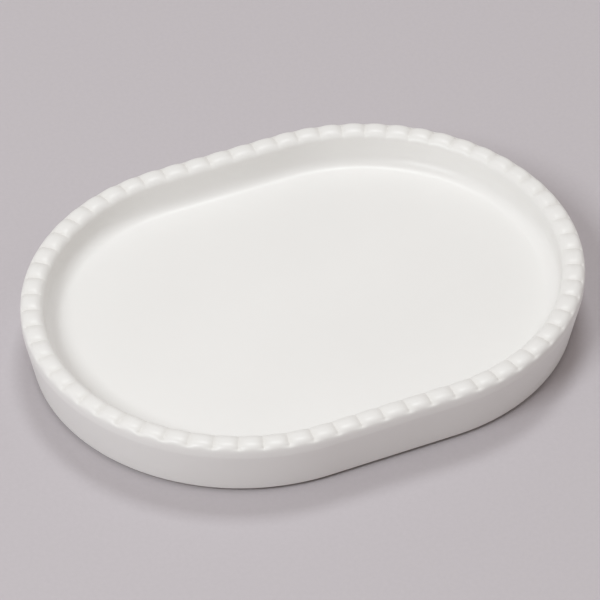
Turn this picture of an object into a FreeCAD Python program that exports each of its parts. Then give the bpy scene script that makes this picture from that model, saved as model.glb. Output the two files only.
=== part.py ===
import FreeCAD, Part

import math
import os

import Sketcher
from FreeCAD import Placement, Rotation, Vector

# A low soap dish: one ceramic casting in the plan of a stadium, with a lobed lip, that stands on
# four round pads stuck into the recess under its floor.
# The origin is on the surface that the dish stands on, under its middle.
# X runs along the dish, Y across it and Z up.

# Driving dimensions, in millimetres and degrees
SIZES = {
    "overall_width": 107,
    "side_length": 33,
    "overall_height": 16.3,
    "rim_radius": 2.7,
    "base_inset": 2.8,
    "floor_thickness": 5.2,
    "floor_corner_radius": 2.6,
    "foot_ring_width": 5,
    "foot_edge_radius": 0.8,
    "recess_depth": 2.3,
    "recess_slope_run": 1.6,
    "recess_corner_radius": 1.5,
    "lobe_count": 66,
    "lobe_radius": 5,
    "groove_depth": 0.85,
    "groove_reach_angle": 62,
    "groove_mouth_share": 0.8,
    "cut_overrun": 0.1,
    "pad_diameter": 12,
    "pad_standoff": 0.5,
    "pad_edge_radius": 0.4,
    "pad_edge_gap": 3,
    "pad_angle": 50,
}

# Sizes worked out from the driving dimensions
DERIVED = {
    "half_width": "Sizes.overall_width / 2",
    "rim_path_radius": "half_width - Sizes.rim_radius",
    "rim_centre_height": "Sizes.overall_height - Sizes.rim_radius",
    "underside_height": "Sizes.pad_standoff + Sizes.recess_depth",
    "floor_height": "underside_height + Sizes.floor_thickness",
    "base_radius": "half_width - Sizes.base_inset",
    "recess_mouth_radius": "base_radius - Sizes.foot_ring_width",
    "recess_radius": "recess_mouth_radius - Sizes.recess_slope_run",
    "lobe_pitch": "(2 * pi * half_width + 2 * Sizes.side_length) / Sizes.lobe_count",
    "lobe_step_angle": "180 / pi * lobe_pitch / half_width",
    "end_groove_count": "2 * floor(90 / lobe_step_angle) + 1",
    "side_groove_count": "Sizes.lobe_count / 2 - end_groove_count",
    "end_groove_angle": "(end_groove_count - 1) * lobe_step_angle",
    "side_groove_run": "(side_groove_count - 1) * lobe_pitch",
    "groove_half_chord": "Sizes.rim_radius * sin(Sizes.groove_reach_angle)",
    "groove_rise": "Sizes.rim_radius * (1 - cos(Sizes.groove_reach_angle)) - Sizes.groove_depth",
    "groove_radius": "(groove_half_chord ^ 2 + groove_rise ^ 2) / (2 * groove_rise)",
    "groove_axis_height": "Sizes.overall_height - Sizes.groove_depth - groove_radius",
    "groove_mouth_radius": "groove_radius + Sizes.groove_depth + Sizes.cut_overrun",
    "groove_half_mouth": "lobe_pitch * Sizes.groove_mouth_share / 2",
    "pad_radius": "Sizes.pad_diameter / 2",
    "pad_ring_radius": "recess_radius - Sizes.pad_edge_gap - pad_radius",
    "pad_x": "Sizes.side_length / 2 + pad_ring_radius * cos(Sizes.pad_angle)",
    "pad_y": "pad_ring_radius * sin(Sizes.pad_angle)",
}

# Each pad's name, with the side of the dish that it is on along X and along Y
PADS = {
    "foot_pad_front_left": (-1, -1),
    "foot_pad_front_right": (1, -1),
    "foot_pad_back_left": (-1, 1),
    "foot_pad_back_right": (1, 1),
}

# In every sketch, edge -1 is the level axis, and its point 1 is the sketch's origin
ORIGIN_POINT = (-1, 1)


def fill_sheet(doc, name, cells):
    """Write one row per value: its name, then the value under an alias of the same name."""
    sheet = doc.addObject("Spreadsheet::Sheet", name)
    for row, (alias, content) in enumerate(cells.items(), start=1):
        sheet.set(f"A{row}", alias)
        sheet.set(f"B{row}", content)
        sheet.setAlias(f"B{row}", alias)
    doc.recompute()
    return sheet


def origin_feature(body, role):
    """A plane or axis of the body's own origin."""
    return next(feature for feature in body.Origin.OriginFeatures if feature.Role == role)


def new_sketch(body, name, plane_role):
    """An empty sketch on one of the body's origin planes."""
    sketch = body.newObject("Sketcher::SketchObject", name)
    sketch.AttachmentSupport = [(origin_feature(body, plane_role), "")]
    sketch.MapMode = "FlatFace"
    return sketch


def bind(item, formulas):
    """Bind several properties of an object to the sheets."""
    for path, formula in formulas.items():
        item.setExpression(path, formula)


def drive(sketch, name, formula, kind, *where):
    """Add a named dimension to a sketch and bind it to the sheets."""
    value = float(sketch.evalExpression(formula))
    index = sketch.addConstraint(Sketcher.Constraint(kind, *where, value))
    sketch.renameConstraint(index, name)
    sketch.setExpression(f"Constraints.{name}", formula)


def draw(sketch, outline):
    """Add a closed outline: two points make a line, three make an arc."""
    for points in outline:
        curve = Part.LineSegment(*points) if len(points) == 2 else Part.Arc(*points)
        sketch.addGeometry(curve, False)


def end_at(sketch, edge, point):
    """The end of an edge that lies at a point: 1 is its start and 2 its end."""
    return min((1, 2), key=lambda end: sketch.getPoint(edge, end).distanceToPoint(point))


def join(sketch, kind, edge, next_edge, point):
    """Join two edges of a sketch at a point, as a corner or as a smooth run."""
    ends = (edge, end_at(sketch, edge, point), next_edge, end_at(sketch, next_edge, point))
    sketch.addConstraint(Sketcher.Constraint(kind, *ends))


def hold_on_vertical_axis(sketch, edge, end):
    """Keep one end of an edge on the sketch's upright axis, which is edge -2 in every sketch."""
    sketch.addConstraint(Sketcher.Constraint("PointOnObject", edge, end, -2))


def mark_corner(sketch, point, edges):
    """Add a construction point where two straight edges would meet if they weren't rounded."""
    corner = sketch.addGeometry(Part.Point(point), True)
    for edge in edges:
        sketch.addConstraint(Sketcher.Constraint("PointOnObject", corner, 1, edge))
    return corner


def rounded_corner(corner, toward_first, toward_second, radius):
    """Start, middle and end of the arc that rounds the corner between two straight edges."""
    first = Vector(toward_first).normalize()
    second = Vector(toward_second).normalize()
    bisector = (first + second).normalize()
    half_angle = first.getAngle(second) / 2
    setback = radius / math.tan(half_angle)
    middle_distance = radius / math.sin(half_angle) - radius
    return corner + first * setback, corner + bisector * middle_distance, corner + second * setback


def section_outline(size, derived):
    """Half of the dish cut across: out along the floor, over the lip, down, and in along the base."""
    outward = Vector(1, 0)
    inward = Vector(-1, 0)
    rim_radius = size("rim_radius")
    rim_centre = Vector(derived("rim_path_radius"), derived("rim_centre_height"))
    base_corner = Vector(derived("base_radius"), size("pad_standoff"))
    recess_mouth = Vector(derived("recess_mouth_radius"), size("pad_standoff"))
    recess_corner = Vector(derived("recess_radius"), derived("underside_height"))
    floor_middle = Vector(0, derived("floor_height"))
    underside_middle = Vector(0, derived("underside_height"))

    # The outer wall leans out from the base and runs smoothly into the round lip
    to_rim = rim_centre - base_corner
    lean = math.atan2(to_rim.x, to_rim.y) + math.asin(rim_radius / to_rim.Length)
    up_wall = Vector(math.sin(lean), math.cos(lean))
    out_of_wall = Vector(math.cos(lean), -math.sin(lean))
    outer_lip = rim_centre + out_of_wall * rim_radius
    inner_lip = rim_centre - out_of_wall * rim_radius
    lip_top = rim_centre + up_wall * rim_radius
    floor_corner = inner_lip - up_wall * ((inner_lip.y - floor_middle.y) / up_wall.y)

    up_slope = recess_corner - recess_mouth
    floor_arc = rounded_corner(floor_corner, inward, up_wall, size("floor_corner_radius"))
    base_arc = rounded_corner(base_corner, up_wall, inward, size("foot_edge_radius"))
    mouth_arc = rounded_corner(recess_mouth, outward, up_slope, size("foot_edge_radius"))
    recess_arc = rounded_corner(recess_corner, -up_slope, inward, size("recess_corner_radius"))
    return [
        (floor_middle, floor_arc[0]),
        floor_arc,
        (floor_arc[-1], inner_lip),
        (inner_lip, lip_top, outer_lip),
        (outer_lip, base_arc[0]),
        base_arc,
        (base_arc[-1], mouth_arc[0]),
        mouth_arc,
        (mouth_arc[-1], recess_arc[0]),
        recess_arc,
        (recess_arc[-1], underside_middle),
        (underside_middle, floor_middle),
    ]


def section_sketch(body, size, derived):
    """The half section, on the plane where the straight sides meet a round end."""
    sketch = new_sketch(body, "dish_section", "YZ_Plane")
    bind(sketch, {"AttachmentOffset.Base.z": "Sizes.side_length / 2"})
    outline = section_outline(size, derived)
    draw(sketch, outline)
    edges = range(len(outline))
    (floor, floor_arc, inner_wall, lip, outer_wall, base_arc, foot_ring,
     mouth_arc, slope, recess_arc, underside, middle) = edges

    for edge in edges[:-2]:
        join(sketch, "Tangent", edge, edge + 1, outline[edge][-1])
    join(sketch, "Coincident", underside, middle, outline[underside][-1])
    join(sketch, "Coincident", middle, floor, outline[middle][-1])
    hold_on_vertical_axis(sketch, middle, 1)
    hold_on_vertical_axis(sketch, middle, 2)
    for level in (floor, foot_ring, underside):
        sketch.addConstraint(Sketcher.Constraint("Horizontal", level))
    sketch.addConstraint(Sketcher.Constraint("Parallel", inner_wall, outer_wall))

    base_corner = mark_corner(sketch, Vector(derived("base_radius"), size("pad_standoff")),
                              (outer_wall, foot_ring))
    mouth_corner = mark_corner(sketch, Vector(derived("recess_mouth_radius"), size("pad_standoff")),
                               (foot_ring, slope))
    recess_corner = mark_corner(sketch, Vector(derived("recess_radius"), derived("underside_height")),
                                (slope, underside))

    # Point 3 of an arc is its centre
    rim_centre = (lip, 3)
    heights = {
        "floor_height": ("Derived.floor_height", (floor, 1)),
        "rim_centre_height": ("Derived.rim_centre_height", rim_centre),
        "foot_height": ("Sizes.pad_standoff", (foot_ring, 1)),
        "underside_height": ("Derived.underside_height", (underside, 1)),
    }
    for name, (formula, point) in heights.items():
        drive(sketch, name, formula, "DistanceY", *ORIGIN_POINT, *point)
    distances = {
        "rim_path_radius": ("Derived.rim_path_radius", rim_centre),
        "base_radius": ("Derived.base_radius", (base_corner, 1)),
        "recess_mouth_radius": ("Derived.recess_mouth_radius", (mouth_corner, 1)),
        "recess_radius": ("Derived.recess_radius", (recess_corner, 1)),
    }
    for name, (formula, point) in distances.items():
        drive(sketch, name, formula, "DistanceX", *ORIGIN_POINT, *point)
    radii = {
        "rim_radius": ("Sizes.rim_radius", lip),
        "floor_corner_radius": ("Sizes.floor_corner_radius", floor_arc),
        "foot_edge_radius": ("Sizes.foot_edge_radius", base_arc),
        "foot_inner_edge_radius": ("Sizes.foot_edge_radius", mouth_arc),
        "recess_corner_radius": ("Sizes.recess_corner_radius", recess_arc),
    }
    for name, (formula, edge) in radii.items():
        drive(sketch, name, formula, "Radius", edge)
    return sketch


def plain_dish(body, section):
    """The dish before its lip is lobed: half of it, then the other half turned about the middle."""
    side = body.newObject("PartDesign::Pad", "straight_side")
    side.Profile = section
    side.Reversed = True
    bind(side, {"Length": "Sizes.side_length"})
    round_end = body.newObject("PartDesign::Revolution", "round_end")
    round_end.Profile = section
    round_end.ReferenceAxis = (section, ["V_Axis"])
    round_end.Angle = 180
    round_end.Reversed = True
    body.Document.recompute()

    whole = body.newObject("PartDesign::PolarPattern", "both_halves")
    whole.Originals = [side, round_end]
    whole.Axis = (origin_feature(body, "Z_Axis"), [""])
    whole.Occurrences = 2
    body.Tip = whole
    body.Document.recompute()


def groove_sketch(body, name, plane_role, size, derived):
    """Two lobes' rounded flanks that meet in a crease, above the axis that the groove bends round."""
    sketch = new_sketch(body, name, plane_role)
    crease = Vector(0, derived("groove_radius"))
    right_edge = Vector(derived("groove_half_mouth"), derived("groove_mouth_radius"))
    left_edge = Vector(-right_edge.x, right_edge.y)
    flank = right_edge - crease
    swell = size("lobe_radius") - math.sqrt(size("lobe_radius") ** 2 - (flank.Length / 2) ** 2)
    right_middle = crease + flank / 2 + Vector(-flank.y, flank.x).normalize() * swell
    left_middle = Vector(-right_middle.x, right_middle.y)
    outline = [
        (crease, right_middle, right_edge),
        (right_edge, left_edge),
        (left_edge, left_middle, crease),
    ]
    draw(sketch, outline)
    right, mouth, left = range(len(outline))
    for edge, next_edge in ((right, mouth), (mouth, left), (left, right)):
        join(sketch, "Coincident", edge, next_edge, outline[edge][-1])
    crease_end = (right, end_at(sketch, right, crease))
    mouth_end = (mouth, end_at(sketch, mouth, right_edge))
    hold_on_vertical_axis(sketch, *crease_end)
    sketch.addConstraint(Sketcher.Constraint("Horizontal", mouth))
    sketch.addConstraint(Sketcher.Constraint("Equal", right, left))
    drive(sketch, "groove_radius", "Derived.groove_radius", "DistanceY", *ORIGIN_POINT, *crease_end)
    drive(sketch, "mouth_radius", "Derived.groove_mouth_radius", "DistanceY", *ORIGIN_POINT, *mouth_end)
    drive(sketch, "half_mouth", "Derived.groove_half_mouth", "DistanceX", *ORIGIN_POINT, *mouth_end)
    drive(sketch, "lobe_radius", "Sizes.lobe_radius", "Radius", right)
    return sketch


def cut_groove(body, name, sketch):
    """Cut one groove over the lip, bent round the sketch's level axis so that it fades at both ends."""
    before = body.Shape.Volume
    groove = body.newObject("PartDesign::Groove", name)
    groove.Profile = sketch
    groove.ReferenceAxis = (sketch, ["H_Axis"])
    groove.Midplane = True
    bind(groove, {"Angle": "2 * Sizes.groove_reach_angle"})
    body.Tip = groove
    body.Document.recompute()
    if not body.Shape.Volume < before:
        raise RuntimeError(f"{name} cuts nothing")
    return groove


def repeat_groove(body, name, groove, pattern):
    """Repeat a groove along its stretch of the lip and, turned half round, on the stretch opposite."""
    opposite = body.newObject("PartDesign::PolarPattern", f"{name}_opposite")
    opposite.Axis = (origin_feature(body, "Z_Axis"), [""])
    opposite.Occurrences = 2
    repeated = body.newObject("PartDesign::MultiTransform", name)
    repeated.Originals = [groove]
    repeated.Transformations = [pattern, opposite]
    body.Tip = repeated
    body.Document.recompute()


def lobe_round_ends(body, section, size, derived):
    """The creases round both ends of the dish, the middle one on the long axis."""
    sketch = groove_sketch(body, "end_groove_section", "YZ_Plane", size, derived)
    start_angle = -derived("end_groove_angle") / 2
    sketch.AttachmentOffset = Placement(Vector(), Rotation(Vector(0, 1, 0), start_angle))
    bind(sketch, {
        "AttachmentOffset.Rotation.Angle": "-Derived.end_groove_angle / 2",
        "AttachmentOffset.Base.x": "-Derived.rim_path_radius * sin(Derived.end_groove_angle / 2)",
        "AttachmentOffset.Base.y": "Derived.groove_axis_height",
        "AttachmentOffset.Base.z":
            "Sizes.side_length / 2 + Derived.rim_path_radius * cos(Derived.end_groove_angle / 2)",
    })
    groove = cut_groove(body, "end_groove", sketch)
    pattern = body.newObject("PartDesign::PolarPattern", "round_the_end")
    pattern.Axis = (section, ["V_Axis"])
    bind(pattern, {"Angle": "Derived.end_groove_angle", "Occurrences": "Derived.end_groove_count"})
    repeat_groove(body, "end_grooves", groove, pattern)


def lobe_straight_sides(body, size, derived):
    """The creases along both straight sides, even about the middle of the side."""
    sketch = groove_sketch(body, "side_groove_section", "XZ_Plane", size, derived)
    bind(sketch, {
        "AttachmentOffset.Base.x": "-Derived.side_groove_run / 2",
        "AttachmentOffset.Base.y": "Derived.groove_axis_height",
        "AttachmentOffset.Base.z": "-Derived.rim_path_radius",
    })
    groove = cut_groove(body, "side_groove", sketch)
    pattern = body.newObject("PartDesign::LinearPattern", "along_the_side")
    pattern.Direction = (sketch, ["H_Axis"])
    bind(pattern, {"Length": "Derived.side_groove_run", "Occurrences": "Derived.side_groove_count"})
    repeat_groove(body, "side_grooves", groove, pattern)


def make_dish(doc, size, derived):
    """The ceramic casting: floor, walls, lobed lip, foot ring and the recess under the floor."""
    body = doc.addObject("PartDesign::Body", "dish_body")
    section = section_sketch(body, size, derived)
    plain_dish(body, section)
    lobe_round_ends(body, section, size, derived)
    if derived("side_groove_count") > 1:
        lobe_straight_sides(body, size, derived)
    return body


def make_pad(doc, name, sides, size, derived):
    """A round soft pad that fills the height from the surface to the ceiling of the recess."""
    body = doc.addObject("PartDesign::Body", name)
    sketch = new_sketch(body, f"{name}_section", "XZ_Plane")
    top = derived("underside_height")
    rim = derived("pad_radius")
    edge_arc = rounded_corner(Vector(rim, 0), Vector(-1, 0), Vector(0, 1), size("pad_edge_radius"))
    outline = [
        (Vector(0, 0), edge_arc[0]),
        edge_arc,
        (edge_arc[-1], Vector(rim, top)),
        (Vector(rim, top), Vector(0, top)),
        (Vector(0, top), Vector(0, 0)),
    ]
    draw(sketch, outline)
    sole, edge_round, side, ceiling, middle = range(len(outline))
    join(sketch, "Tangent", sole, edge_round, outline[sole][-1])
    join(sketch, "Tangent", edge_round, side, outline[edge_round][-1])
    for edge, next_edge in ((side, ceiling), (ceiling, middle), (middle, sole)):
        join(sketch, "Coincident", edge, next_edge, outline[edge][-1])
    sketch.addConstraint(Sketcher.Constraint("Coincident", sole, 1, *ORIGIN_POINT))
    for level in (sole, ceiling):
        sketch.addConstraint(Sketcher.Constraint("Horizontal", level))
    for upright in (side, middle):
        sketch.addConstraint(Sketcher.Constraint("Vertical", upright))
    drive(sketch, "pad_radius", "Derived.pad_radius", "DistanceX", *ORIGIN_POINT, ceiling, 1)
    drive(sketch, "pad_height", "Derived.underside_height", "DistanceY", *ORIGIN_POINT, ceiling, 1)
    drive(sketch, "pad_edge_radius", "Sizes.pad_edge_radius", "Radius", edge_round)

    turned = body.newObject("PartDesign::Revolution", f"{name}_disc")
    turned.Profile = sketch
    turned.ReferenceAxis = (sketch, ["V_Axis"])
    turned.Angle = 360
    along, across = sides
    bind(body, {
        "Placement.Base.x": f"{along} * Derived.pad_x",
        "Placement.Base.y": f"{across} * Derived.pad_y",
    })
    return body


def check_document(doc, sub_parts):
    """Stop if anything in the document failed to build, or if a sub-part isn't one sound solid."""
    for item in doc.Objects:
        if "Invalid" in item.State or "Error" in item.State:
            raise RuntimeError(f"{item.Name} failed: {item.State}")
    for part in sub_parts:
        shape = part.Shape
        if shape.isNull() or not shape.isValid() or len(shape.Solids) != 1:
            raise RuntimeError(f"{part.Label} isn't one sound solid")


def main():
    doc = FreeCAD.newDocument("soap_dish")
    sizes_sheet = fill_sheet(doc, "Sizes", {alias: str(value) for alias, value in SIZES.items()})
    derived_sheet = fill_sheet(doc, "Derived", {alias: f"={text}" for alias, text in DERIVED.items()})

    def size(alias):
        return float(sizes_sheet.get(alias))

    def derived(alias):
        return float(derived_sheet.get(alias))

    sub_parts = [make_dish(doc, size, derived)]
    for name, sides in PADS.items():
        sub_parts.append(make_pad(doc, name, sides, size, derived))
    doc.recompute()
    check_document(doc, sub_parts)

    os.makedirs("parts", exist_ok=True)
    for part in sub_parts:
        part.Shape.exportStep(f"parts/{part.Label}.step")
        box = part.Shape.optimalBoundingBox()
        print(f"{part.Label}: {part.Shape.Volume:.1f} mm3, X {box.XMin:.2f} to {box.XMax:.2f}, "
              f"Y {box.YMin:.2f} to {box.YMax:.2f}, Z {box.ZMin:.2f} to {box.ZMax:.2f}")


main()
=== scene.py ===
import math
import random

import bpy
from mathutils import Matrix, Vector, noise


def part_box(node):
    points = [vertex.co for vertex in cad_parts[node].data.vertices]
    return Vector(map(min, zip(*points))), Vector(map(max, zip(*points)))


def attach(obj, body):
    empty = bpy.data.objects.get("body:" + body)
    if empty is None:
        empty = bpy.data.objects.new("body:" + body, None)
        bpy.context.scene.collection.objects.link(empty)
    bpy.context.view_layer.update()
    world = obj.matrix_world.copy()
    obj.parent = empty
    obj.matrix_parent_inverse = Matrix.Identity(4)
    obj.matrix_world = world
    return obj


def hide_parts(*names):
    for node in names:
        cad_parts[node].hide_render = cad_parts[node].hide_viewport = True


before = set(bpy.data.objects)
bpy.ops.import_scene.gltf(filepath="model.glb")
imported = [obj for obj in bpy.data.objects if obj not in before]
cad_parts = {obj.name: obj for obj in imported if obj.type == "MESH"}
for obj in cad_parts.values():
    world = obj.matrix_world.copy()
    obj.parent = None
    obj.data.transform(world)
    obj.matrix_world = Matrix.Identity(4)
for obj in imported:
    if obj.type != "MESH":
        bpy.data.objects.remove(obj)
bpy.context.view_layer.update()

# The soap dish as glazed ceramic: a finely modelled casting stands for the plain solid, with soft lobes
# on its lip, a bare foot ring and small unevenness, and the pads under it get their own finish.
# Metres, +Z up, X along the dish. The dish's box and the pads' box come from the frame.
MM = 0.001
DISH_LOW, DISH_HIGH = (Vector(corner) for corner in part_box("dish_body"))
_, PAD_HIGH = (Vector(corner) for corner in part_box("foot_pad_front_left"))
PAD_NODES = [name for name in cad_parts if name.startswith("foot_pad")]

# Sizes that the frame gives
HALF_LENGTH = DISH_HIGH.x
HALF_WIDTH = DISH_HIGH.y
LIP_HEIGHT = DISH_HIGH.z
FOOT_HEIGHT = DISH_LOW.z
UNDERSIDE_HEIGHT = PAD_HIGH.z
HALF_SIDE = HALF_LENGTH - HALF_WIDTH

# Section of the casting: insets are from the dish's outer edge
LIP_HALF_HEIGHT = 2.6 * MM
LIP_OUTER_HALF_WIDTH = 2.65 * MM
LIP_INNER_HALF_WIDTH = 3.1 * MM
LIP_OUTER_SQUARENESS = 3
LIP_INNER_SQUARENESS = 2.5
LIP_CENTRE_INSET = 2.7 * MM
LIP_CENTRE_DROP = 2.65 * MM
WALL_FOOT_INSET = 2.45 * MM
FLOOR_EDGE_INSET = 6.4 * MM
FLOOR_THICKNESS = 5.2 * MM
FLOOR_CORNER_RADIUS = 4.0 * MM
FOOT_REBATE_HEIGHT = 0.5 * MM
FOOT_REBATE_DEPTH = 2.2 * MM
FOOT_RING_INNER_INSET = 7.8 * MM
FOOT_EDGE_RADIUS = 0.25 * MM
RECESS_MOUTH_RADIUS = 0.8 * MM
RECESS_SLOPE_RUN = 1.6 * MM
RECESS_CORNER_RADIUS = 1.5 * MM
FLOOR_HEIGHT = UNDERSIDE_HEIGHT + FLOOR_THICKNESS

# Fineness of the mesh
FLOOR_ARC_STEPS = 10
INNER_WALL_STEPS = 5
LIP_STEPS = 44
OUTER_WALL_STEPS = 10
FOOT_EDGE_STEPS = 6
FOOT_RING_STEPS = 4
RECESS_ARC_STEPS = 5
SLOPE_STEPS = 2
COLUMNS_PER_LOBE = 14
COLUMN_CROWDING = 1.5
FLOOR_ROWS = 12

# Angles in the section, in degrees, from 0 level outwards
STRAIGHT_UP = 90
STRAIGHT_DOWN = 270
HALF_TURN = 180

# Lobes of the lip: the fades and the touching angles are in the section's degrees
LOBE_COUNT = 66
CREASE_DEPTH = 0.56 * MM
LOBE_ROUNDNESS = 2.3
CREASE_WIDTH = 0.6 * MM
CREASE_NARROW_SHARE = 0.12
LOBE_OUTER_FADE = (14, 46)
LOBE_INNER_FADE = (180, 70)
INNER_TOUCH_ANGLES = range(100, 225)
OUTER_TOUCH_ANGLES = range(-45, 80)
TANGENT_STEP = 0.5

# Unevenness of a hand-finished casting
UNEVENNESS_SEED = 7
CREASE_DRIFT_SHARE = 0.035
CREASE_DEPTH_SHARE = 0.12
CREST_SINK = 0.05 * MM
WALL_WAVE = 0.05 * MM
WALL_WAVES_PER_METRE = 22
WALL_WAVE_SEED = 3.1
FLOOR_WAVE = 0.05 * MM
FLOOR_WAVES_PER_METRE = 18
FLOOR_WAVE_SEED = 8.3

# Runs of the section that have lobes, waves or no glaze, and the material slots of the casting
LOBED_RUNS = ("inner_wall", "lip")
WAVY_RUNS = ("inner_wall", "lip", "outer_wall")
BARE_RUNS = ("rebate", "foot_ring")
GLAZE_SLOT = 0
BISQUE_SLOT = 1

# Colours and finishes
GLAZE_WHITE = (0.885, 0.88, 0.865, 1)
GLAZE_CLOUD = (0.865, 0.86, 0.845, 1)
# Darker, greyer glaze for the creases: partly pooled glaze, partly painted shade in the creases
GLAZE_POOLED_AND_SHADED = (0.80, 0.785, 0.755, 1)
GLAZE_POOL_SHADE_SHARE = 0.6
GLAZE_ROUGHNESS = (0.44, 0.54)
GLAZE_IOR = 1.5
GLAZE_COAT = 0.14
GLAZE_COAT_ROUGHNESS = 0.2
# Bare clay of the foot ring, darkened beyond its own tone: painted shade that deepens the thin gap line
# under the dish
BISQUE_AND_GAP_SHADE_LIGHT = (0.46, 0.41, 0.35, 1)
BISQUE_AND_GAP_SHADE_DARK = (0.38, 0.34, 0.29, 1)
BISQUE_ROUGHNESS = (0.75, 0.92)
PAD_CLEAN = (0.70, 0.70, 0.68, 1)
PAD_DUSTY = (0.60, 0.60, 0.585, 1)
PAD_ROUGHNESS = (0.45, 0.62)
PAD_SUBSURFACE = 0.2
PAD_SUBSURFACE_SCALE = 2 * MM
PAPER_LIGHT = (0.578, 0.545, 0.570, 1)
PAPER_DARK = (0.562, 0.530, 0.554, 1)
PAPER_ROUGHNESS = 0.95
PAPER_SPECULAR = 0.1
NOISE_RANGE = (0.3, 0.7)

# Camera, as fitted to the photograph: angles in degrees, offsets in shares of the half width
CAMERA_AZIMUTH = -24.5
CAMERA_ELEVATION = 41.5
CAMERA_DISTANCE_SHARE = 19.80
CAMERA_OFFSET_SHARES = (0.0178, -0.1166)
CAMERA_CLIP_START = 0.01
HALF_WIDTH_PIXELS = 218.9
IMAGE_PIXELS = 600
SENSOR_MM = 36

# Studio lamps: degrees round from the picture's right towards its back, degrees up, side and watts
LAMP_DISTANCE = 1.3
LAMP_COLOUR = (0.96, 1.0, 1.018)
LAMPS = {
    "back_lamp": (86, 67, 0.36, 4.7),
    "front_left_lamp": (229, 46, 0.45, 6.9),
    "right_fill": (5, 31, 1.2, 2.0),
    "front_left_fill": (204, 32, 1.2, 1.6),
}
SURROUND_COLOUR = (1.0, 0.885, 0.82, 1)
SURROUND_STRENGTH = 0.328
BACKDROP_REACH = 3


# Section of the casting, as points with the direction that faces the air
def section_arc(centre, radius, start, end, steps, hollow=False):
    """Points on an arc of the section from one angle to another, in degrees, ends included."""
    points = []
    for step in range(steps + 1):
        angle = math.radians(start + (end - start) * step / steps)
        outward = Vector((math.cos(angle), math.sin(angle)))
        points.append((centre + outward * radius, -outward if hollow else outward))
    return points


def between(first, second, steps):
    """Points between two section points, ends left out."""
    points = []
    for step in range(1, steps):
        share = step / steps
        facing = first[1].lerp(second[1], share).normalized()
        points.append((first[0].lerp(second[0], share), facing))
    return points


def arc_in_corner(corner, toward_first, toward_second, radius):
    """Centre of the arc that rounds a corner between two straight lines."""
    first = toward_first.normalized()
    second = toward_second.normalized()
    half_angle = first.angle(second) / 2
    return corner + (first + second).normalized() * (radius / math.sin(half_angle))


def lip_place(centre, angle):
    """Place on the lip's outline at an angle in degrees: a squared round, wider inside than outside."""
    direction = Vector((math.cos(math.radians(angle)), math.sin(math.radians(angle))))
    half_width, power = LIP_OUTER_HALF_WIDTH, LIP_OUTER_SQUARENESS
    if direction.x < 0:
        half_width, power = LIP_INNER_HALF_WIDTH, LIP_INNER_SQUARENESS
    reach = (abs(direction.x) / half_width) ** power + (abs(direction.y) / LIP_HALF_HEIGHT) ** power
    return centre + direction * reach ** (-1 / power)


def lip_run(centre, inner_foot, outer_foot):
    """The lip from where the inner wall touches it to where the outer wall does."""

    def lean(angle, foot):
        rise = lip_place(centre, angle) - foot
        return rise.x / rise.y

    first = min(INNER_TOUCH_ANGLES, key=lambda angle: lean(angle, inner_foot))
    last = max(OUTER_TOUCH_ANGLES, key=lambda angle: lean(angle, outer_foot))
    points = []
    for step in range(LIP_STEPS + 1):
        angle = first + (last - first) * step / LIP_STEPS
        along = lip_place(centre, angle - TANGENT_STEP) - lip_place(centre, angle + TANGENT_STEP)
        points.append((lip_place(centre, angle), Vector((-along.y, along.x)).normalized()))
    return points


def facing_angle(facing):
    """Angle of a section direction in degrees, 0 level outwards, 90 straight up."""
    return math.degrees(math.atan2(facing.y, facing.x))


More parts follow.
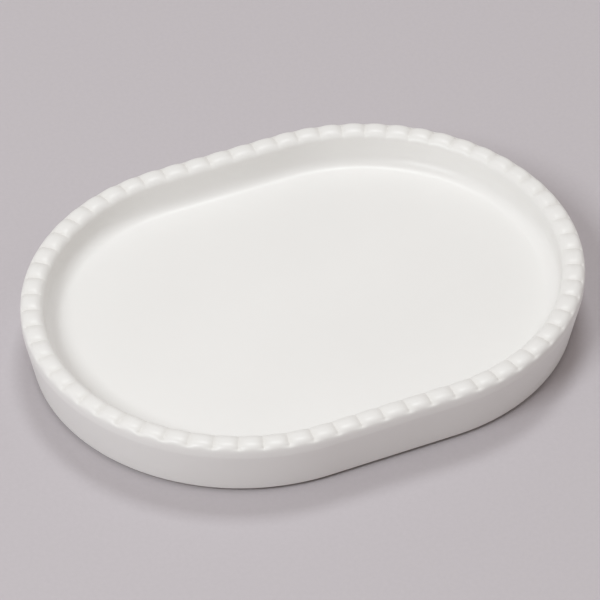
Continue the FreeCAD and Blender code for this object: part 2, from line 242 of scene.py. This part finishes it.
def dish_section():
    """The section from the floor's edge over the lip and down to the recess's ceiling, in named runs."""
    outward = Vector((1, 0))
    inward = Vector((-1, 0))
    down = Vector((0, -1))
    lip_centre = Vector((HALF_WIDTH - LIP_CENTRE_INSET, LIP_HEIGHT - LIP_CENTRE_DROP))
    floor_corner = Vector((HALF_WIDTH - FLOOR_EDGE_INSET, FLOOR_HEIGHT))
    wall_foot = Vector((HALF_WIDTH - WALL_FOOT_INSET, FOOT_HEIGHT + FOOT_REBATE_HEIGHT))
    rebate_corner = wall_foot + inward * FOOT_REBATE_DEPTH
    foot_corner = Vector((rebate_corner.x, FOOT_HEIGHT))
    mouth_corner = Vector((HALF_WIDTH - FOOT_RING_INNER_INSET, FOOT_HEIGHT))
    recess_corner = Vector((mouth_corner.x - RECESS_SLOPE_RUN, UNDERSIDE_HEIGHT))

    lip = lip_run(lip_centre, floor_corner, wall_foot)
    up_inner_wall = (lip[0][0] - floor_corner).normalized()
    up_outer_wall = (lip[-1][0] - wall_foot).normalized()
    up_slope = (recess_corner - mouth_corner).normalized()
    inner_end = facing_angle(Vector((-up_inner_wall.y, up_inner_wall.x))) + HALF_TURN
    outer_start = facing_angle(Vector((up_outer_wall.y, -up_outer_wall.x)))
    mouth_end = facing_angle(Vector((up_slope.y, -up_slope.x))) + HALF_TURN

    floor_centre = arc_in_corner(floor_corner, inward, up_inner_wall, FLOOR_CORNER_RADIUS)
    wall_foot_centre = arc_in_corner(wall_foot, up_outer_wall, inward, FOOT_EDGE_RADIUS)
    mouth_centre = arc_in_corner(mouth_corner, outward, up_slope, RECESS_MOUTH_RADIUS)
    recess_centre = arc_in_corner(recess_corner, -up_slope, inward, RECESS_CORNER_RADIUS)
    floor_arc = section_arc(floor_centre, FLOOR_CORNER_RADIUS, STRAIGHT_DOWN, inner_end,
                            FLOOR_ARC_STEPS, hollow=True)
    wall_foot_arc = section_arc(wall_foot_centre, FOOT_EDGE_RADIUS, outer_start, -STRAIGHT_UP,
                                FOOT_EDGE_STEPS)
    rebate = [(corner, (outward + down).normalized()) for corner in (rebate_corner, foot_corner)]
    mouth_arc = section_arc(mouth_centre, RECESS_MOUTH_RADIUS, STRAIGHT_DOWN, mouth_end, RECESS_ARC_STEPS)
    recess_arc = section_arc(recess_centre, RECESS_CORNER_RADIUS, mouth_end - HALF_TURN, STRAIGHT_UP,
                             RECESS_ARC_STEPS, hollow=True)
    return {
        "floor_arc": floor_arc,
        "inner_wall": between(floor_arc[-1], lip[0], INNER_WALL_STEPS),
        "lip": lip,
        "outer_wall": between(lip[-1], wall_foot_arc[0], OUTER_WALL_STEPS),
        "wall_foot": wall_foot_arc,
        "rebate": rebate,
        "foot_ring": between(rebate[-1], mouth_arc[0], FOOT_RING_STEPS),
        "mouth_arc": mouth_arc,
        "slope": between(mouth_arc[-1], recess_arc[0], SLOPE_STEPS),
        "recess_arc": recess_arc,
    }


# Places round the dish
def column_places():
    """Each column's distance round the outer edge from the middle of the +X end, its lobe and its spot on
    the lobe, from -1 to 1, crowded towards the creases. Returns the lobes' pitch as well."""
    perimeter = 2 * math.pi * HALF_WIDTH + 4 * HALF_SIDE
    pitch = perimeter / LOBE_COUNT
    places = []
    for lobe in range(LOBE_COUNT):
        for column in range(COLUMNS_PER_LOBE):
            even = 2 * column / COLUMNS_PER_LOBE - 1
            spot = math.copysign(1 - (1 - abs(even)) ** COLUMN_CROWDING, even)
            places.append(((lobe + 0.5 + spot / 2) * pitch, lobe, spot))
    return places, pitch


def path_point(distance):
    """Place on the rounded oblong's middle line and the angle out of it, at a distance round its edge."""
    quarter = math.pi / 2 * HALF_WIDTH
    side = 2 * HALF_SIDE
    distance %= 4 * quarter + 2 * side
    if distance < quarter:
        return Vector((HALF_SIDE, 0)), distance / HALF_WIDTH
    distance -= quarter
    if distance < side:
        return Vector((HALF_SIDE - distance, 0)), math.pi / 2
    distance -= side
    if distance < 2 * quarter:
        return Vector((-HALF_SIDE, 0)), math.pi / 2 + distance / HALF_WIDTH
    distance -= 2 * quarter
    if distance < side:
        return Vector((-HALF_SIDE + distance, 0)), 3 * math.pi / 2
    distance -= side
    return Vector((HALF_SIDE, 0)), 3 * math.pi / 2 + distance / HALF_WIDTH


def middle_distance(place):
    """Level distance of a place from the rounded oblong's middle line."""
    along = min(max(place.x, -HALF_SIDE), HALF_SIDE)
    return math.hypot(place.x - along, place.y)


def stand_up(section_vector, out):
    """A vector of the section, stood upright along a level direction."""
    return Vector((out.x * section_vector.x, out.y * section_vector.x, section_vector.y))


# Lobes and unevenness
def ease(value, start, end):
    """Smooth step from 0 at start to 1 at end, either way round."""
    share = min(max((value - start) / (end - start), 0), 1)
    return share * share * (3 - 2 * share)


def lobe_reach(facing):
    """Share of the creases' depth here: 1 on the lip's outer shoulder, less down each wall."""
    angle = facing_angle(facing)
    return ease(angle, *LOBE_OUTER_FADE) * ease(angle, *LOBE_INNER_FADE)


def crease_cut(spot, pitch, depth):
    """Depth under the lobe's crest at a spot from -1 to 1 across it: a domed lobe and a narrow crease."""
    from_crease = pitch / 2 * (1 - abs(spot))
    narrow = math.exp(-(from_crease / CREASE_WIDTH) ** 2)
    dome = abs(spot) ** LOBE_ROUNDNESS
    return depth * (CREASE_NARROW_SHARE * narrow + (1 - CREASE_NARROW_SHARE) * dome)


def lobe_unevenness():
    """Each lobe's crease drift, crease depth and sunken crest, from one seeded run of draws."""
    draws = random.Random(UNEVENNESS_SEED)
    drifts = [draws.uniform(-1, 1) * CREASE_DRIFT_SHARE for _ in range(LOBE_COUNT)]
    depths = [CREASE_DEPTH * (1 + draws.uniform(-1, 1) * CREASE_DEPTH_SHARE) for _ in range(LOBE_COUNT)]
    sinks = [-draws.uniform(-1, 0) * CREST_SINK for _ in range(LOBE_COUNT)]
    return drifts, depths, sinks


def wave(place, waves_per_metre, seed):
    """Smooth seeded unevenness from about -1 to 1."""
    return noise.noise(place * waves_per_metre + Vector((seed, seed, seed)))


# Meshes
def add_piece(name, vertices, faces, materials, face_slots):
    """A smooth shaded mesh object with its materials."""
    mesh = bpy.data.meshes.new(name)
    mesh.from_pydata(vertices, [], faces)
    for material in materials:
        mesh.materials.append(material)
    for polygon, slot in zip(mesh.polygons, face_slots):
        polygon.material_index = slot
        polygon.use_smooth = True
    mesh.update()
    piece = bpy.data.objects.new(name, mesh)
    bpy.context.collection.objects.link(piece)
    return piece


def casting_points(rows):
    """Vertices of the casting, column by column round the dish, and how deep each one lies in a crease,
    which darkens the glaze there: partly pooled glaze, partly painted crease shade.
    """
    drifts, depths, sinks = lobe_unevenness()
    reaches = [lobe_reach(facing) if run in LOBED_RUNS else 0 for place, facing, run in rows]
    columns, pitch = column_places()
    vertices = []
    pool_and_shade_depths = []
    for distance, lobe, spot in columns:
        drift = drifts[lobe] if spot < 0 else drifts[(lobe + 1) % LOBE_COUNT]
        middle, angle = path_point(distance + drift * abs(spot) * pitch / 2)
        out = Vector((math.cos(angle), math.sin(angle)))
        next_lobe = (lobe + (1 if spot > 0 else -1)) % LOBE_COUNT
        depth = depths[lobe] + (depths[next_lobe] - depths[lobe]) * abs(spot) / 2
        cut = crease_cut(spot, pitch, depth) + sinks[lobe] * (1 - spot ** 2) ** 2
        for (place, facing, run), reach in zip(rows, reaches):
            point = middle.to_3d() + stand_up(place - facing * (cut * reach), out)
            if run in WAVY_RUNS:
                dent = wave(point, WALL_WAVES_PER_METRE, WALL_WAVE_SEED) * WALL_WAVE - WALL_WAVE
                share = ease(point.z, FOOT_HEIGHT, LIP_HEIGHT / 2)
                point += stand_up(facing, out) * (dent * share)
            vertices.append(point)
            # Share of darker glaze, deepest in the creases: partly pooled glaze, partly painted crease
            # shade
            pool_and_shade_depths.append(min(cut / CREASE_DEPTH, 1) * reach)
    return vertices, pool_and_shade_depths


def wall_faces(rows, columns):
    """Quads between neighbouring columns of the casting, and the material slot of each."""
    count = len(rows)
    bare = [run in BARE_RUNS for place, facing, run in rows]
    faces = []
    slots = []
    for column in range(columns):
        here = column * count
        following = (column + 1) % columns * count
        for row in range(count - 1):
            faces.append((here + row, here + row + 1, following + row + 1, following + row))
            slots.append(BISQUE_SLOT if bare[row] or bare[row + 1] else GLAZE_SLOT)
    return faces, slots


def disc_rows(ring):
    """Vertices and quads that fill a level ring, as strips across the dish from one side to the other.
    The ring's first column is the middle of the +X end. Returns new places and faces by index,
    where a new vertex's index counts on from the ring."""
    columns = len(ring)
    half = columns // 2
    places = []
    index = {}

    def vertex(column, row):
        if row == 0 or column in (0, half):
            return column % columns
        if row == FLOOR_ROWS:
            return (columns - column) % columns
        return index[column, row]

    for column in range(1, half):
        near, far = ring[column], ring[columns - column]
        for row in range(1, FLOOR_ROWS):
            index[column, row] = columns + len(places)
            places.append(near.lerp(far, row / FLOOR_ROWS))
    faces = []
    for column in range(half):
        for row in range(FLOOR_ROWS):
            corners = [vertex(column, row), vertex(column + 1, row),
                       vertex(column + 1, row + 1), vertex(column, row + 1)]
            kept = [corner for place, corner in enumerate(corners) if corner != corners[place - 1]]
            if len(kept) > 2:
                faces.append(kept)
    return places, faces


def add_disc(vertices, faces, ring_items, upward):
    """Close the casting inside a level ring of its vertices: the uneven floor, or the ceiling under it."""
    ring = [vertices[item] for item in ring_items]
    edge = middle_distance(ring[0])
    places, patches = disc_rows(ring)
    items = [*ring_items, *range(len(vertices), len(vertices) + len(places))]
    for place in places:
        if upward:
            share = ease(middle_distance(place), edge, edge / 2)
            rise = wave(place, FLOOR_WAVES_PER_METRE, FLOOR_WAVE_SEED) * FLOOR_WAVE * share
            place = place + Vector((0, 0, rise))
        vertices.append(place)
    for patch in patches:
        faces.append([items[item] for item in (patch if upward else reversed(patch))])


def make_dish(glaze, bisque_and_gap_shade):
    """The casting: the section carried round the dish, closed by the floor and by the recess's ceiling."""
    rows = [(place, facing, run) for run, points in dish_section().items() for place, facing in points]
    vertices, pool_and_shade_depths = casting_points(rows)
    count = len(rows)
    total = len(vertices)
    faces, slots = wall_faces(rows, total // count)
    add_disc(vertices, faces, range(0, total, count), upward=True)
    add_disc(vertices, faces, range(count - 1, total, count), upward=False)
    pool_and_shade_depths += [0] * (len(vertices) - len(pool_and_shade_depths))
    slots += [GLAZE_SLOT] * (len(faces) - len(slots))
    dish = add_piece("glazed_dish", vertices, faces, [glaze, bisque_and_gap_shade], slots)
    pool_and_shade = dish.data.attributes.new("glaze_pool_and_crease_shade", "FLOAT", "POINT")
    pool_and_shade.data.foreach_set("value", pool_and_shade_depths)
    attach(dish, "root")
    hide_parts("dish_body")


def finish_pads(silicone):
    """Give the CAD's own pads their material."""
    for name in PAD_NODES:
        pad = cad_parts[name]
        pad.data.materials.clear()
        pad.data.materials.append(silicone)


# Materials
class Shader:
    """A material's node tree, with short calls to add nodes and join them."""

    def __init__(self, name):
        self.material = bpy.data.materials.new(name)
        self.material.use_nodes = True
        self.tree = self.material.node_tree
        self.surface = self.tree.nodes["Principled BSDF"]
        self.place = self.add("ShaderNodeTexCoord").outputs["Object"]

    def add(self, kind, inputs=None, **settings):
        """Add a node, with its inputs joined to sockets or set to plain values."""
        node = self.tree.nodes.new(kind)
        for key, value in settings.items():
            setattr(node, key, value)
        for key, value in (inputs or {}).items():
            self.feed(node.inputs[key], value)
        return node

    def feed(self, socket, value):
        """Join a socket to another one, or set it to a plain value."""
        if isinstance(value, bpy.types.NodeSocket):
            self.tree.links.new(value, socket)
        else:
            socket.default_value = value

    def finish(self, **inputs):
        """Feed the surface's inputs, named with underscores for spaces."""
        for key, value in inputs.items():
            self.feed(self.surface.inputs[key.replace("_", " ")], value)
        return self.material

    def noise(self, per_metre, detail=3, roughness=0.5):
        """Noise in the piece's own space, around 0.5."""
        inputs = {"Vector": self.place, "Scale": per_metre, "Detail": detail, "Roughness": roughness}
        return self.add("ShaderNodeTexNoise", inputs).outputs["Fac"]

    def spread(self, value, low=0, high=1):
        """Map a noise value to a range of numbers."""
        inputs = {"Value": value, "From Min": NOISE_RANGE[0], "From Max": NOISE_RANGE[1],
                  "To Min": low, "To Max": high}
        return self.add("ShaderNodeMapRange", inputs).outputs["Result"]

    def blend(self, share, first, second):
        """Mix two colours by a share."""
        node = self.add("ShaderNodeMix", data_type="RGBA")
        for key, kind, value in (("Factor", "VALUE", share), ("A", "RGBA", first), ("B", "RGBA", second)):
            self.feed(next(item for item in node.inputs if item.name == key and item.type == kind), value)
        return next(item for item in node.outputs if item.type == "RGBA")

    def bump(self, height, strength, distance, **normal):
        """Bump from a height, over an earlier bump where one is given as Normal."""
        inputs = {"Height": height, "Strength": strength, "Distance": distance, **normal}
        return self.add("ShaderNodeBump", inputs).outputs["Normal"]


def glaze_material():
    """Satin white glaze: creamier and darker in the creases, partly pooled glaze and partly painted crease
    shade, cloudy, with a faint orange peel.
    """
    shader = Shader("satin_glaze")
    white = shader.blend(shader.spread(shader.noise(per_metre=28, detail=4)), GLAZE_WHITE, GLAZE_CLOUD)
    pool_and_shade = shader.add("ShaderNodeAttribute", attribute_name="glaze_pool_and_crease_shade").outputs["Fac"]
    pool_and_shade_share = shader.add("ShaderNodeMath", {0: pool_and_shade, 1: GLAZE_POOL_SHADE_SHARE}, operation="MULTIPLY")
    peel = shader.bump(shader.noise(per_metre=420, detail=2), strength=0.10, distance=0.2 * MM)
    specks = shader.noise(per_metre=2600, detail=2)
    grain = shader.bump(specks, strength=0.05, distance=0.05 * MM, Normal=peel)
    return shader.finish(
        Base_Color=shader.blend(pool_and_shade_share.outputs["Value"], white, GLAZE_POOLED_AND_SHADED),
        Roughness=shader.spread(shader.noise(per_metre=160), *GLAZE_ROUGHNESS),
        Normal=grain,
        IOR=GLAZE_IOR,
        Coat_Weight=GLAZE_COAT,
        Coat_Roughness=GLAZE_COAT_ROUGHNESS,
    )


def bisque_and_gap_shade_material():
    """Bare fired clay of the foot ring: matt and sandy, and darker than the bare clay alone as painted
    shade in the thin gap under the dish.
    """
    shader = Shader("bare_bisque_and_gap_shade")
    grain = shader.noise(per_metre=1500, detail=5, roughness=0.65)
    patch = shader.spread(shader.noise(per_metre=90, detail=4))
    return shader.finish(
        Base_Color=shader.blend(patch, BISQUE_AND_GAP_SHADE_LIGHT, BISQUE_AND_GAP_SHADE_DARK),
        Roughness=shader.spread(grain, *BISQUE_ROUGHNESS),
        Normal=shader.bump(grain, strength=0.5, distance=0.2 * MM),
    )


def pad_material():
    """Soft translucent silicone, slightly dusty."""
    shader = Shader("pad_silicone")
    dust = shader.spread(shader.noise(per_metre=240, detail=4))
    return shader.finish(
        Base_Color=shader.blend(dust, PAD_CLEAN, PAD_DUSTY),
        Roughness=shader.spread(shader.noise(per_metre=600), *PAD_ROUGHNESS),
        Normal=shader.bump(shader.noise(per_metre=1800), strength=0.25, distance=0.1 * MM),
        Subsurface_Weight=PAD_SUBSURFACE,
        Subsurface_Scale=PAD_SUBSURFACE_SCALE,
    )


def paper_material():
    """Matt pale paper with a trace of fibre."""
    shader = Shader("backdrop_paper")
    fibre = shader.spread(shader.noise(per_metre=900, detail=4))
    return shader.finish(
        Base_Color=shader.blend(fibre, PAPER_LIGHT, PAPER_DARK),
        Roughness=PAPER_ROUGHNESS,
        Specular_IOR_Level=PAPER_SPECULAR,
    )


# Stage, light and camera
def make_floor():
    """A wide pale paper sheet under the dish."""
    reach = BACKDROP_REACH
    corners = [(-reach, -reach, 0), (reach, -reach, 0), (reach, reach, 0), (-reach, reach, 0)]
    floor = add_piece("backdrop", corners, [(0, 1, 2, 3)], [paper_material()], [0])


def add_lamp(name, turn, lift, size, power):
    """A square soft lamp that looks at the dish from a turn and lift in the picture's own plan."""
    azimuth = math.radians(turn + CAMERA_AZIMUTH)
    elevation = math.radians(lift)
    level = math.cos(elevation)
    toward = Vector((math.cos(azimuth) * level, math.sin(azimuth) * level, math.sin(elevation)))
    data = bpy.data.lights.new(name, "AREA")
    data.shape = "SQUARE"
    data.size = size
    data.energy = power
    data.color = LAMP_COLOUR
    lamp = bpy.data.objects.new(name, data)
    lamp.location = toward * LAMP_DISTANCE
    lamp.rotation_euler = toward.to_track_quat("Z", "Y").to_euler()
    bpy.context.collection.objects.link(lamp)


def light_scene():
    """A pale even surround and the soft lamps."""
    world = bpy.data.worlds.new("studio")
    world.use_nodes = True
    background = world.node_tree.nodes["Background"]
    background.inputs["Color"].default_value = SURROUND_COLOUR
    background.inputs["Strength"].default_value = SURROUND_STRENGTH
    bpy.context.scene.world = world
    for name, settings in LAMPS.items():
        add_lamp(name, *settings)


def make_camera():
    """The photograph's view: the fitted direction, distance and framing."""
    azimuth = math.radians(CAMERA_AZIMUTH)
    elevation = math.radians(CAMERA_ELEVATION)
    level = math.cos(elevation)
    back = Vector((math.sin(azimuth) * level, -math.cos(azimuth) * level, math.sin(elevation)))
    right = Vector((math.cos(azimuth), math.sin(azimuth), 0))
    up = back.cross(right)
    across, along = CAMERA_OFFSET_SHARES
    base = Vector((0, 0, FOOT_HEIGHT))
    place = base + (back * CAMERA_DISTANCE_SHARE - right * across - up * along) * HALF_WIDTH
    data = bpy.data.cameras.new("photo_camera")
    data.sensor_fit = "HORIZONTAL"
    data.sensor_width = SENSOR_MM
    data.lens = HALF_WIDTH_PIXELS * CAMERA_DISTANCE_SHARE / IMAGE_PIXELS * SENSOR_MM
    data.clip_start = CAMERA_CLIP_START
    camera = bpy.data.objects.new("photo_camera", data)
    turn = Matrix((right, up, back)).transposed().to_4x4()
    camera.matrix_world = Matrix.Translation(place) @ turn
    bpy.context.collection.objects.link(camera)
    bpy.context.scene.camera = camera


make_dish(glaze_material(), bisque_and_gap_shade_material())
finish_pads(pad_material())
make_floor()
light_scene()
make_camera()
bpy.context.scene.view_settings.view_transform = "Standard"
